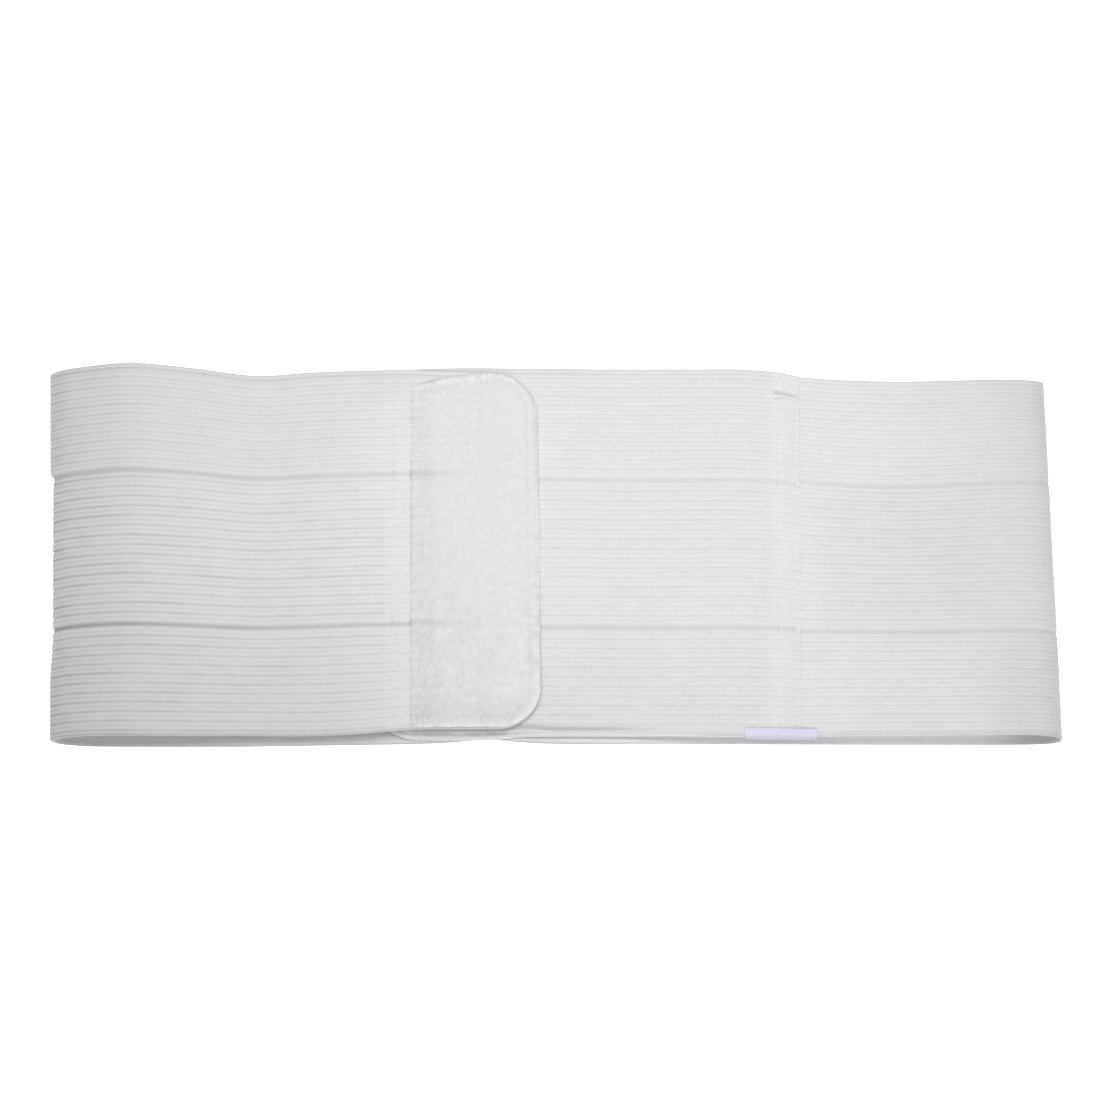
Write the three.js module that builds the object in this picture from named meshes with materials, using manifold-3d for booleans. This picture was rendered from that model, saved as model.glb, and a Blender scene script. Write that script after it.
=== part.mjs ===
// A ribbed elastic support belt, fastened into a loop and lying flattened on a surface.
// Millimetres, +X to the right, +Y to the far edge, +Z up. The origin is the middle of the underside.

import * as THREE from 'three';
import { mergeVertices } from 'three/addons/utils/BufferGeometryUtils.js';
import Module from 'manifold-3d';

const wasm = await Module();
wasm.setup();

// The elastic band: its wall, its ribs and the grooves between its three panels
const BAND_WIDTH = 152;
const WALL = 2;
const RIB_DEPTH = 0.4;
const GROOVE_DEPTH = 1;
const GROOVE_WIDTH = 2.2;
const GROOVE_FLOOR = 0.8;
const SELVEDGE_WIDTH = 1.8;
const SELVEDGE_ROUND = 0.6;

// The panels of each band, from the near edge to the far edge. Each rib here is a pair of fine ribs.
const MAIN_PANELS = [
  { width: 45.2, ribs: 11 },
  { width: 63.2, ribs: 16 },
  { width: 43.6, ribs: 11 },
];
const UNDERLAP_PANELS = [
  { width: 45.6, ribs: 11 },
  { width: 61.0, ribs: 15 },
  { width: 45.4, ribs: 12 },
];

// The closure: the rounded end of the main band, with a pile patch outside and a hook tape inside.
// from and to are places along x, and near and far are the margins to the band's edges, far at each section.
const CORNER_RADIUS = 17;
const CORNER_STEPS = 10;
const CUT_MARGIN = 4;
const CLOSURE_ROWS = 3;
const PILE_PATCH = { from: -8, to: -57.4, near: 0.8, far: [0.8, 1.6, 7], wall: 1.2, dent: 0.5 };
const HOOK_TAPE = { from: -10, to: -55, near: 5, far: [5, 5, 5], wall: 1.2, dent: 0 };
const PIECE_GAP = 0.3;

// The ribbon round the near edge at the lap seam
const TAG_WALL = 0.6;
const TAG_REACH = 5;

// Sections along the main band, from the closure end over the left fold, under and back to the lap seam.
// x and z place the middle of the wall at the far edge, near and far are the band's two edges,
// lean moves the near edge along x, tuck draws the middle panel in, and rib is the share of full rib depth.
// steps is the number of stretches from this section to the next.
const MAIN_SECTIONS = [
  { x: -7.2, z: 11.8, near: -72.4, far: 74.3, lean: 2, tuck: 0, rib: 1, steps: 1 },
  { x: -32, z: 11.8, near: -72.5, far: 75.0, lean: 0.6, tuck: 0, rib: 1, steps: 1 },
  { x: -58, z: 11.8, near: -72.8, far: 75.9, lean: 0, tuck: 0, rib: 1, steps: 1 },
  { x: -76, z: 11.1, near: -74.2, far: 75.9, lean: 0, tuck: 0, rib: 1, steps: 1 },
  { x: -98, z: 9.2, near: -74.8, far: 75.6, lean: 0, tuck: 0, rib: 1, steps: 2 },
  { x: -120, z: 8.3, near: -74.5, far: 74.5, lean: 0, tuck: 0, rib: 1, steps: 2 },
  { x: -146, z: 10.4, near: -75.0, far: 77.2, lean: 0, tuck: 0, rib: 1, steps: 2 },
  { x: -171, z: 12.7, near: -75.4, far: 78.7, lean: 0.2, tuck: 0.2, rib: 1, steps: 2 },
  { x: -188.6, z: 11.9, near: -75.5, far: 77.3, lean: 0.6, tuck: 0.8, rib: 1, steps: 1 },
  { x: -198.2, z: 9.6, near: -75.7, far: 76.3, lean: 1.2, tuck: 1.1, rib: 1, steps: 1 },
  { x: -202.1, z: 6.2, near: -76.0, far: 75.5, lean: 1.3, tuck: 1.2, rib: 1, steps: 1 },
  { x: -198.7, z: 2.8, near: -76.5, far: 75.2, lean: 1.2, tuck: 1.1, rib: 1, steps: 1 },
  { x: -188.6, z: 1.2, near: -77.0, far: 75.0, lean: 0.6, tuck: 0.4, rib: 0.5, steps: 1 },
  { x: -172, z: 1, near: -77.2, far: 74.8, lean: 0, tuck: 0, rib: 0, steps: 1 },
  { x: -110, z: 1, near: -77.2, far: 74.8, lean: 0, tuck: 0, rib: 0, steps: 1 },
  { x: -60, z: 1, near: -76.8, far: 74.8, lean: 0, tuck: 0, rib: 0, steps: 1 },
  { x: -26, z: 1, near: -74.9, far: 74.8, lean: 0, tuck: 0, rib: 0, steps: 1 },
  { x: 5, z: 1, near: -76.2, far: 74.6, lean: 0, tuck: 0, rib: 0, steps: 1 },
  { x: 60, z: 1, near: -76.3, far: 74.2, lean: 0, tuck: 0, rib: 0, steps: 1 },
  { x: 115, z: 1, near: -76.4, far: 73.8, lean: 1, tuck: 0, rib: 0, steps: 1 },
  { x: 165, z: 1, near: -76.5, far: 73.6, lean: 4, tuck: 0, rib: 0, steps: 1 },
  { x: 182.6, z: 1.2, near: -76.4, far: 73.2, lean: 5.4, tuck: -0.1, rib: 0.5, steps: 1 },
  { x: 192.4, z: 2.7, near: -76.3, far: 72.8, lean: 6, tuck: -0.1, rib: 1, steps: 1 },
  { x: 195.6, z: 5.7, near: -76.0, far: 72.4, lean: 6.1, tuck: -0.1, rib: 1, steps: 1 },
  { x: 192.4, z: 8.7, near: -75.6, far: 72.2, lean: 6, tuck: -0.1, rib: 1, steps: 1 },
  { x: 182.6, z: 10.3, near: -75.4, far: 72.3, lean: 5.4, tuck: -0.1, rib: 1, steps: 1 },
  { x: 165, z: 10.8, near: -75.6, far: 71.9, lean: 4, tuck: 0, rib: 1, steps: 1 },
  { x: 138, z: 10.4, near: -75.7, far: 71.5, lean: 1.5, tuck: 0, rib: 1, steps: 1 },
  { x: 112, z: 9.8, near: -75.8, far: 72.4, lean: 0, tuck: 0, rib: 1, steps: 1 },
  { x: 98, z: 9.3, near: -76.1, far: 73.8, lean: 0, tuck: 0, rib: 1, steps: 1 },
  { x: 86, z: 9, near: -76.2, far: 74.2, lean: 0, tuck: 0, rib: 1, steps: 1 },
];

// Sections along the underlap, from the lap seam to the end under the closure
const UNDERLAP_SECTIONS = [
  { x: 98, z: 11.6, near: -76.3, far: 73.9, lean: 0, tuck: 0, rib: 1, steps: 1 },
  { x: 86, z: 11.3, near: -76.3, far: 75.6, lean: 0, tuck: 0, rib: 1, steps: 1 },
  { x: 72, z: 10.4, near: -76.1, far: 76.6, lean: 0, tuck: 0, rib: 1, steps: 1 },
  { x: 52, z: 9.1, near: -75.9, far: 76.8, lean: 0, tuck: 0, rib: 1, steps: 1 },
  { x: 30, z: 8.3, near: -75.8, far: 76.9, lean: 0, tuck: 0, rib: 1, steps: 1 },
  { x: 8, z: 8, near: -75.7, far: 77.4, lean: 0, tuck: 0, rib: 1, steps: 1 },
  { x: -13, z: 8, near: -75.7, far: 77.5, lean: 0, tuck: 0, rib: 1, steps: 1 },
  { x: -36, z: 8, near: -75.8, far: 77.8, lean: 0, tuck: 0, rib: 1, steps: 1 },
  { x: -72.5, z: 8, near: -75.9, far: 76.8, lean: 0, tuck: 0, rib: 1, steps: 1 },
];

// Sections along the ribbon: the top and the underside of the layers that it is folded round
const TAG_SECTIONS = [
  { x: 104.7, top: 10.9, under: 8.3 },
  { x: 98.4, top: 12.7, under: 8.1 },
  { x: 86, top: 12.3, under: 7.9 },
  { x: 75.8, top: 11.8, under: 9.5 },
];

const ELASTIC = { color: 0xe8e8ea, roughness: 0.9, metalness: 0 };
const PILE = { color: 0xececee, roughness: 1, metalness: 0 };
const RIBBON = { color: 0xe3e0f0, roughness: 0.6, metalness: 0 };

// Profiles across a band, as points with a place across the width and a height from the middle of the wall

function ribbedOutside(panels, ribShare) {
  const crest = WALL / 2;
  const valley = crest - RIB_DEPTH * ribShare;
  const points = [
    { across: 0, height: crest - SELVEDGE_ROUND },
    { across: SELVEDGE_ROUND, height: crest },
  ];
  let start = 0;
  panels.forEach((panel, index) => {
    const isFirst = index === 0;
    const isLast = index === panels.length - 1;
    const from = start + (isFirst ? SELVEDGE_WIDTH : GROOVE_WIDTH / 2);
    const to = start + panel.width - (isLast ? SELVEDGE_WIDTH : GROOVE_WIDTH / 2);
    const pitch = (to - from) / panel.ribs;
    for (let rib = 0; rib < panel.ribs; rib += 1) {
      points.push({ across: from + rib * pitch, height: valley });
      points.push({ across: from + (rib + 0.5) * pitch, height: crest });
    }
    points.push({ across: to, height: valley });
    start += panel.width;
    if (!isLast) {
      points.push({ across: start - GROOVE_FLOOR / 2, height: crest - GROOVE_DEPTH });
      points.push({ across: start + GROOVE_FLOOR / 2, height: crest - GROOVE_DEPTH });
    }
  });
  points.push({ across: BAND_WIDTH - SELVEDGE_ROUND, height: crest });
  points.push({ across: BAND_WIDTH, height: crest - SELVEDGE_ROUND });
  return points;
}

function dentedOutside(height, dent, near, far) {
  const points = [{ across: near, height }];
  let start = 0;
  MAIN_PANELS.slice(0, -1).forEach((panel) => {
    start += panel.width;
    points.push({ across: start - GROOVE_WIDTH, height });
    points.push({ across: start, height: height - dent });
    points.push({ across: start + GROOVE_WIDTH, height });
  });
  points.push({ across: BAND_WIDTH - far, height });
  return points;
}

function plainInside(panels, height, near, far) {
  const points = [{ across: BAND_WIDTH - far, height }];
  let start = BAND_WIDTH;
  [...panels].reverse().forEach((panel) => {
    points.push({ across: start - panel.width / 2, height });
    start -= panel.width;
    points.push({ across: Math.max(start, near), height });
  });
  return points;
}

// Places along a band: two smooth rails, one through each edge, carry the profile between them

function railsOf(sections) {
  const near = sections.map((row) => new THREE.Vector3(row.x + row.lean, row.near, row.z));
  const far = sections.map((row) => new THREE.Vector3(row.x, row.far, row.z));
  return {
    near: new THREE.CatmullRomCurve3(near, false, 'centripetal'),
    far: new THREE.CatmullRomCurve3(far, false, 'centripetal'),
  };
}

function stationsAlong(sections) {
  const rails = railsOf(sections);
  const spans = sections.length - 1;
  const stations = [];
  sections.forEach((row, index) => {
    const next = sections[Math.min(index + 1, spans)];
    const count = index === spans ? 1 : row.steps;
    for (let step = 0; step < count; step += 1) {
      const share = step / count;
      stations.push({
        ...stationAt(rails, (index + share) / spans),
        tuck: THREE.MathUtils.lerp(row.tuck, next.tuck, share),
        rib: THREE.MathUtils.lerp(row.rib, next.rib, share),
      });
    }
  });
  return stations;
}

function stationAt(rails, place) {
  const along = rails.near.getTangent(place).add(rails.far.getTangent(place));
  const outward = new THREE.Vector3(along.z, 0, -along.x).normalize();
  return { near: rails.near.getPoint(place), far: rails.far.getPoint(place), outward };
}

function placed(station, point) {
  const position = new THREE.Vector3().lerpVectors(station.near, station.far, point.across / BAND_WIDTH);
  return position.addScaledVector(station.outward, point.height - tuckAt(station, point));
}

function tuckAt(station, point) {
  const middleFrom = MAIN_PANELS[0].width;
  const middleTo = middleFrom + MAIN_PANELS[1].width;
  const inMiddle = point.across > middleFrom - GROOVE_WIDTH / 2 && point.across < middleTo + GROOVE_WIDTH / 2;
  return inMiddle ? station.tuck : 0;
}

// Closed solid swept through rings of points, with a cap at each end

function sweptSolid(rings, profile) {
  const size = rings[0].length;
  const positions = rings.flat().flatMap((point) => point.toArray());
  const faces = [];
  for (let ring = 0; ring < rings.length - 1; ring += 1) {
    for (let side = 0; side < size; side += 1) {
      const a = ring * size + side;
      const b = ring * size + ((side + 1) % size);
      faces.push(a, b, a + size, b, b + size, a + size);
    }
  }
  const last = (rings.length - 1) * size;
  const outline = profile.map((point) => new THREE.Vector2(point.across, point.height));
  THREE.ShapeUtils.triangulateShape(outline, []).forEach(([a, b, c]) => {
    faces.push(a, b, c);
    faces.push(last + a, last + c, last + b);
  });
  const geometry = new THREE.BufferGeometry();
  geometry.setAttribute('position', new THREE.Float32BufferAttribute(positions, 3));
  geometry.setIndex(faces);
  return geometry;
}

function bandGeometry(sections, panels) {
  const inside = plainInside(panels, -WALL / 2, 0, 0);
  const rings = stationsAlong(sections).map((station) => {
    const profile = [...ribbedOutside(panels, station.rib), ...inside];
    return profile.map((point) => placed(station, point));
  });
  return sweptSolid(rings, [...ribbedOutside(panels, 1), ...inside]);
}

// Patch that follows the closure end, with its outer face at a height from the middle of the band's wall

function patchGeometry(patch, outer) {
  const profile = (far) => [
    ...dentedOutside(outer, patch.dent, patch.near, far),
    ...plainInside(MAIN_PANELS, outer - patch.wall, patch.near, far),
  ];
  const sections = MAIN_SECTIONS.slice(0, CLOSURE_ROWS).map((row) => ({
    ...row,
    x: THREE.MathUtils.clamp(row.x, patch.to, patch.from),
  }));
  const rings = stationsAlong(sections).map((station, index) => (
    profile(patch.far[index]).map((point) => placed(station, point))
  ));
  return sweptSolid(rings, profile(patch.far[0]));
}

// Rounded corners at a band's end, cut by the two pieces of stuff outside each corner's arc.
// toward is 1 for an end that points to the right and -1 for one that points to the left.

function cornerWaste(endX, edgeY, middleZ, side, toward, radius) {
  const low = middleZ - CUT_MARGIN;
  const centre = new THREE.Vector2(endX - toward * radius, edgeY - side * radius);
  const outerX = endX + toward * CUT_MARGIN;
  const outerY = edgeY + side * CUT_MARGIN;
  const startAngle = toward > 0 ? 0 : Math.PI;
  const turn = (side * toward * Math.PI) / 2;
  const outline = new THREE.Shape();
  outline.moveTo(centre.x, edgeY);
  outline.lineTo(centre.x, outerY);
  outline.lineTo(outerX, outerY);
  outline.lineTo(outerX, centre.y);
  outline.absarc(centre.x, centre.y, radius, startAngle, startAngle + turn, turn < 0);
  const waste = new THREE.ExtrudeGeometry(outline, {
    depth: 2 * CUT_MARGIN,
    bevelEnabled: false,
    curveSegments: CORNER_STEPS,
  });
  return waste.translate(0, 0, low);
}

function solidOf(geometry) {
  const bare = geometry.clone();
  bare.deleteAttribute('normal');
  bare.deleteAttribute('uv');
  const merged = mergeVertices(bare);
  const vertProperties = new Float32Array(merged.attributes.position.array);
  const triVerts = new Uint32Array(merged.index.array);
  return new wasm.Manifold(new wasm.Mesh({ numProp: 3, vertProperties, triVerts }));
}

function geometryOf(solid) {
  const mesh = solid.getMesh();
  const geometry = new THREE.BufferGeometry();
  geometry.setAttribute('position', new THREE.BufferAttribute(mesh.vertProperties, 3));
  geometry.setIndex(new THREE.BufferAttribute(mesh.triVerts, 1));
  return geometry;
}

function withRoundEnd(geometry, end, toward, radius) {
  const nearWaste = solidOf(cornerWaste(end.x + end.lean, end.near, end.z, -1, toward, radius));
  const farWaste = solidOf(cornerWaste(end.x, end.far, end.z, 1, toward, radius));
  return geometryOf(solidOf(geometry).subtract(nearWaste).subtract(farWaste));
}

// The pieces

function piece(name, geometry, look) {
  geometry.computeVertexNormals();
  const mesh = new THREE.Mesh(geometry, new THREE.MeshStandardMaterial(look));
  mesh.name = name;
  return mesh;
}

function mainBand() {
  const band = bandGeometry(MAIN_SECTIONS, MAIN_PANELS);
  return piece('main_band', withRoundEnd(band, MAIN_SECTIONS[0], 1, CORNER_RADIUS), ELASTIC);
}

function underlapBand() {
  const band = bandGeometry(UNDERLAP_SECTIONS, UNDERLAP_PANELS);
  return piece('underlap_band', withRoundEnd(band, UNDERLAP_SECTIONS.at(-1), -1, CORNER_RADIUS), ELASTIC);
}

function closurePatch() {
  const slab = patchGeometry(PILE_PATCH, WALL / 2 + PIECE_GAP + PILE_PATCH.wall);
  const end = {
    ...MAIN_SECTIONS[0],
    x: PILE_PATCH.from,
    near: MAIN_SECTIONS[0].near + PILE_PATCH.near,
    far: MAIN_SECTIONS[0].far - PILE_PATCH.far[0],
  };
  return piece('closure_patch', withRoundEnd(slab, end, 1, CORNER_RADIUS - PILE_PATCH.near), PILE);
}

function hookPatch() {
  return piece('hook_patch', patchGeometry(HOOK_TAPE, -WALL / 2 - PIECE_GAP), PILE);
}

// The ribbon: a folded strip, open at the far side, that wraps the near edge of both layers

function seamTag() {
  const edge = UNDERLAP_SECTIONS[0].near - PIECE_GAP;
  const inner = edge + TAG_REACH;
  const profile = (row) => {
    const top = row.top + PIECE_GAP;
    const under = row.under - PIECE_GAP;
    return [
      new THREE.Vector3(row.x, edge, top),
      new THREE.Vector3(row.x, edge, under),
      new THREE.Vector3(row.x, inner, under),
      new THREE.Vector3(row.x, inner, under - TAG_WALL),
      new THREE.Vector3(row.x, edge - TAG_WALL, under - TAG_WALL),
      new THREE.Vector3(row.x, edge - TAG_WALL, top + TAG_WALL),
      new THREE.Vector3(row.x, inner, top + TAG_WALL),
      new THREE.Vector3(row.x, inner, top),
    ];
  };
  const outline = profile(TAG_SECTIONS[0]).map((point) => ({ across: point.y, height: point.z }));
  return piece('seam_tag', sweptSolid(TAG_SECTIONS.map(profile), outline), RIBBON);
}

const belt = new THREE.Group();
belt.add(mainBand(), underlapBand(), closurePatch(), hookPatch(), seamTag());

// Stands the belt on its origin, at the middle of the underside
const bounds = new THREE.Box3().setFromObject(belt);
const middle = bounds.getCenter(new THREE.Vector3());
belt.position.set(-middle.x, -middle.y, -bounds.min.z);

export default belt;
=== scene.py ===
import math
from collections import namedtuple

import bpy
import numpy as np
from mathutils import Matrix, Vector


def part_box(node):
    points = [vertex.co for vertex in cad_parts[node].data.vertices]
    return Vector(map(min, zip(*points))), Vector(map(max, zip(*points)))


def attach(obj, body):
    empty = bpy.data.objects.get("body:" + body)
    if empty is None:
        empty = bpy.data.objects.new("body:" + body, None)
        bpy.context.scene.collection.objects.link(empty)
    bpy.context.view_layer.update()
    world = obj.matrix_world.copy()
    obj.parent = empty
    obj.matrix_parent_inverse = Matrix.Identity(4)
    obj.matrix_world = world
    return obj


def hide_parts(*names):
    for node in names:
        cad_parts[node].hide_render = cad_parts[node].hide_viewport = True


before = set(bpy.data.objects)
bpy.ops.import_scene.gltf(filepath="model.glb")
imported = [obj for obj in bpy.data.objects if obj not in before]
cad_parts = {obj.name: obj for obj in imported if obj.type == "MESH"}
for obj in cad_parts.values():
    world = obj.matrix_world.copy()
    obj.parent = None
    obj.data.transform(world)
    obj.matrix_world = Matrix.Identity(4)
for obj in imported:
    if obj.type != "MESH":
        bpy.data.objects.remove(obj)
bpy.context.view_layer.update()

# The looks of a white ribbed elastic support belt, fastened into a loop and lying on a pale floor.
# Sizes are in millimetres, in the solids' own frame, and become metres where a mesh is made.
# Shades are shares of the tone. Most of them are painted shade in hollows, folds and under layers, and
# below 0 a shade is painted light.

MM = 0.001
UP = (0, 0, 1)


# Amounts that change along x, across the width or with a distance

def rising(start, end, value):
    """An S-curve from 0 at the start to 1 at the end, which may be the smaller."""
    share = np.clip((value - start) / (end - start), 0, 1)
    return share * share * (3 - 2 * share)


def change(amount, start, end):
    """An amount that comes in along an S-curve, from none at the start to all at the end."""
    return lambda value: amount * rising(start, end, value)


def stretch(amount, start, full, fading, end):
    """An amount that comes in along one S-curve and fades out along another."""
    return lambda value: amount * rising(start, full, value) * rising(end, fading, value)


def bell(amount, middle, reach):
    """An amount that falls off to both sides of a middle."""
    return lambda value: amount * np.exp(-(((value - middle) / reach) ** 2))


def decay(amount, reach):
    """An amount that falls off with a distance."""
    return lambda distance: amount * np.exp(-distance / reach)


# The elastic band: its wall, its three panels from the near edge to the far edge, and its fine ribs.
# The ribs lie in pairs: a deep valley lies between pairs and a shallow one inside each pair.
WIDTH = 152.0
WALL = 2.0
SELVEDGE = 1.8
GROOVE_WIDTH = 1.7
GROOVE_DEPTH = 0.6
GROOVE_SLOPE = 0.5
GROOVE_SHARES = (-0.6, -0.3, 0.0, 0.3, 0.6)
DEEP_VALLEY = 0.42
SHALLOW_VALLEY = 0.12
RIB_SHOULDER = 0.2
SHOULDER_DROP = 0.28
INNER_RIBS = 0.6
PANEL_CROWN = decay(0.2, 3.0)
Panel = namedtuple("Panel", "width ribs")
PANELS = [Panel(45.2, 22), Panel(63.2, 31), Panel(43.6, 22)]
UNDERLAP_PANELS = [Panel(45.6, 22), Panel(61.0, 30), Panel(45.4, 23)]

# Columns of the plain selvedge: place from the edge, drop below the crest, and share of a rib for the weave
SELVEDGE_COLUMNS = [(0.0, 0.5, 0.0), (0.2, 0.15, 0.15), (0.7, 0.0, 0.45), (1.4, 0.05, 0.8)]
Columns = namedtuple("Columns", "across drop rib")

# Sections along the main band, from the closure end over the left fold, under and back to the lap seam.
# x and z place the middle of the wall at the far edge, near and far are the two edges, step is the spacing
# of the mesh up to the next one, lean moves the near edge along x, and tuck draws the middle panel in.
Section = namedtuple("Section", "x z near far step lean tuck", defaults=(0, 0))
MAIN_SECTIONS = [Section(*row) for row in (
    (-7.2, 11.8, -72.4, 74.3, 3.6, 2.0),
    (-32, 11.8, -72.5, 75.0, 4.0, 0.6),
    (-58, 11.8, -72.8, 75.9, 3.4),
    (-76, 11.1, -74.2, 75.9, 3.4),
    (-98, 9.2, -74.8, 75.6, 3.4),
    (-120, 8.3, -74.5, 74.5, 3.4),
    (-146, 10.4, -75.0, 77.2, 3.4),
    (-171, 12.7, -75.4, 78.7, 3.0, 0.2, 0.2),
    (-188.6, 11.9, -75.5, 77.3, 1.8, 0.6, 0.8),
    (-198.2, 9.6, -75.7, 76.3, 1.2, 1.2, 1.1),
    (-202.1, 6.2, -76.0, 75.5, 1.2, 1.3, 1.2),
    (-198.7, 2.8, -76.5, 75.2, 1.8, 1.2, 1.1),
    (-188.6, 1.2, -77.0, 75.0, 4.0, 0.6, 0.4),
    (-172, 1, -77.2, 74.8, 16),
    (-110, 1, -77.2, 74.8, 16),
    (-60, 1, -77.1, 74.8, 6),
    (-44, 1, -76.5, 74.8, 6),
    (-26, 1, -75.3, 74.8, 6),
    (-9, 1, -76.6, 74.7, 6),
    (5, 1, -77.0, 74.6, 6),
    (30, 1, -76.9, 74.4, 6),
    (60, 1, -76.3, 74.2, 16),
    (115, 1, -76.4, 73.8, 16, 1),
    (165, 1, -76.5, 73.6, 6, 4),
    (182.6, 1.2, -76.4, 73.2, 2.4, 5.4, -0.1),
    (192.4, 2.7, -76.3, 72.8, 1.2, 6.0, -0.1),
    (195.6, 5.7, -76.0, 72.4, 1.2, 6.1, -0.1),
    (192.4, 8.7, -75.6, 72.2, 2.4, 6.0, -0.1),
    (182.6, 10.3, -75.4, 72.3, 3.4, 5.4, -0.1),
    (165, 10.8, -75.6, 71.9, 3.4, 4),
    (138, 10.4, -75.7, 71.5, 3.4, 1.5),
    (112, 9.8, -75.8, 72.4, 3.4),
    (98, 8.8, -76.1, 73.8, 4.0),
    (86, 8.6, -76.2, 74.2, 4.0),
)]

# Sections along the underlap, from the lap seam to the end under the closure
UNDERLAP_SECTIONS = [Section(*row) for row in (
    (98, 10.92, -76.3, 73.9, 1.5),
    (86, 10.75, -76.3, 75.6, 1.8),
    (72, 10.3, -76.1, 76.6, 2.4),
    (52, 9.1, -75.9, 76.8, 2.4),
    (30, 8.3, -75.8, 76.9, 2.4),
    (8, 8, -75.7, 77.4, 2.4),
    (-13, 8, -75.7, 77.5, 2.4),
    (-36, 8, -75.8, 77.8, 3.6),
    (-72.5, 8, -75.9, 76.8, 3.6),
)]
LAP_EDGE = 98.0
LAP_THINNING = change(1.65, 8.0, 0.0)

# The stations of a band, and which way its outer face looks: 1 is straight up and -1 straight down
DENSE_PLACES = 6000
CORNER_PLACES = 12
PLACE_DIGITS = 4
HEADING_STEP = 1e-3
SAME_LAYER = 100.0
UPPER_FACING = 0.3
LOWER_FACING = -0.95
RAISED = change(1, -0.95, -0.3)

# The two strips: the seed of their unevenness, the stretch that a seam presses flat, how much of the wall
# is lost at the first end, and the painted shade of the inner face at its near edge, painted light below 0
Strip = namedtuple("Strip", "name panels seed pressed thinning inner_rim")
MAIN_STRIP = Strip("main_band_cloth", PANELS, 3, stretch(1, -68.5, -65.5, -56, -53), change(0, 8, 0), 0.15)
SEWN_STRETCH = stretch(1, 84, 87, LAP_EDGE, 101)
UNDERLAP_STRIP = Strip("underlap_cloth", UNDERLAP_PANELS, 7, SEWN_STRETCH, LAP_THINNING, -0.14)

# Smooth unevenness: ripples, with how much faster they run across, and blotches of one cell's width
Ripple = namedtuple("Ripple", "height shortest longest spread")
WANDER = Ripple(0.16, 28, 90, 3)
SWELL = Ripple(0.16, 24, 80, 1)
RIB_RIPPLE = Ripple(0.3, 30, 70, 9)
PILE_RIPPLE = Ripple(0.1, 9, 40, 1)
RIPPLE_WAVES = 6
Mottle = namedtuple("Mottle", "height cell")
MOTTLING_TURNS = (0.3, 1.2)
MOTTLING_CELLS = 512
EDGE_FADE = change(1, 0, 6)

# Soft forms of the main band
CLOSURE_DRIFT = change(1.0, -80, -56)
FAR_CLOSURE_DRIFT = 0.5
RIGHT_DRIFT = bell(1.3, 138, 30)
RIGHT_DRIFT_FROM = 100
NEAR_DRAW = 0.8
DRAWN_FACING = change(NEAR_DRAW, -0.6, 0.4)
DRAWN_STRIP = change(1, 20, 0)
LIFTED = stretch(1, -128, -62, 28, 70)
NEAR_LIFT = change(3.4, 16, 0)
TUCK_NEAR = change(1, -24, 1)
TUCK_FAR = change(1, 2.4, -0.6)
END_DROOP = 1.45
END_PINCH = 1.1
DROOP_RIM = change(1, 3.4, 0)
CORNER_DROOP = 0.4
DROOP_GROWTH = change(0.6, 12, 40)

# Soft forms and tones of the underlap, whose near strip hangs outside the hooks' grip
HANG = change(1.4, 52, 14)
HANGING_STRIP = change(1, 5.5, 0)
COVERED = change(1, -2, -24)
COVERED_HANG = 0.4
CREASE_DRAW = 1.2
DRAW_START = change(1, -30, -8)
DRAW_EASE = change(NEAR_DRAW - CREASE_DRAW, 46, 70)
CREASE_STRIP = change(1, 3.6, 0)
CREASE_PLACE = 3.95
CREASE_SHIFT = change(0.7, 0, -10)
CREASE_LINE = bell(1, 0, 0.9)
CREASE_DEPTH = 0.9
CREASE_START = change(1, -24, -10)
CREASE_END = change(1, 50, 12)
# Painted shade in the crease, a broken painted shadow under the closure, and painted light on the near rim
CREASE_PAINTED_SHADE = 0.27
CREASE_ROOT_PAINTED_SHADE = change(0.05, 12, -8)
COVER_PAINTED_SHADOW = change(0.22, -66, -50)
COVER_STRIP = stretch(1, 0.6, 1.6, 2.2, 4)
COVER_BREAKS = Mottle(0.8, 1.6)
COVER_SEED = 41
PAINTED_LIGHT_RIM = change(0.28, 70, 40)
# The whole underlap is drawn a little darker
UNDERLAP_DARKENING = 0.03
SEWN_END = change(1, 84, 91)
SEWN_PALE = 0.024
SEWN_FAR_PALE = change(0.026, 40, 80)

# What depth the ribs lose. Distances from the left are measured from the left fold.
LEFT_END = -203.0
PRESSED_LOSS = 0.7
FAR_LOSS = change(0.4, 70, 130)
STRETCHED_LOSS = change(0.28, 120, 220)
STRETCHED_PANELS = change(1, 20, 60)
RIGHT_LOSS = change(0.35, 345, 380)

# Painted shade in the ribs' valleys, with some of the grey that the rubber strands show: strongest at the
# left fold, weaker on the far panel
VALLEY_PAINTED_SHADE = 0.17
VALLEY_POWER = 0.7
PLAIN_VALLEYS = 0.3
LEFT_VALLEYS = bell(0.75, 0, 170)
MIDDLE_VALLEYS = change(0.1, 35, 60)
FAR_VALLEYS = change(-0.5, 95, 120)
FOLD_VALLEYS = decay(1.1, 16)
FOLD_NEAR_SHARE = 0.7
FOLD_FAR_SHARE = change(1, 60, 120)
VALLEY_BREAKS = Mottle(0.35, 6.0)
BREAK_SPREAD = 4
GROOVE_CALM = bell(0.85, 0, 1.221025)

# Tones of the grooves, edges, folds, panels and inner face, most of them painted shade and painted light
# Painted shade in the grooves, darker toward the left fold
NEAR_GROOVE_PAINTED_SHADE = 0.08
NEAR_GROOVE_LEFT = decay(0.43, 130)
FAR_GROOVE_PAINTED_SHADE = 0.065
FAR_GROOVE_LEFT = decay(0.22, 130)
GROOVE_LINE = bell(1, 0, 0.7225)
# A painted shade line along the far edge, fading out to the right
FAR_EDGE_PAINTED_SHADE = bell(0.07, 2.3, 0.9)
FAR_LINE_END = change(1, 300, 150)
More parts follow.
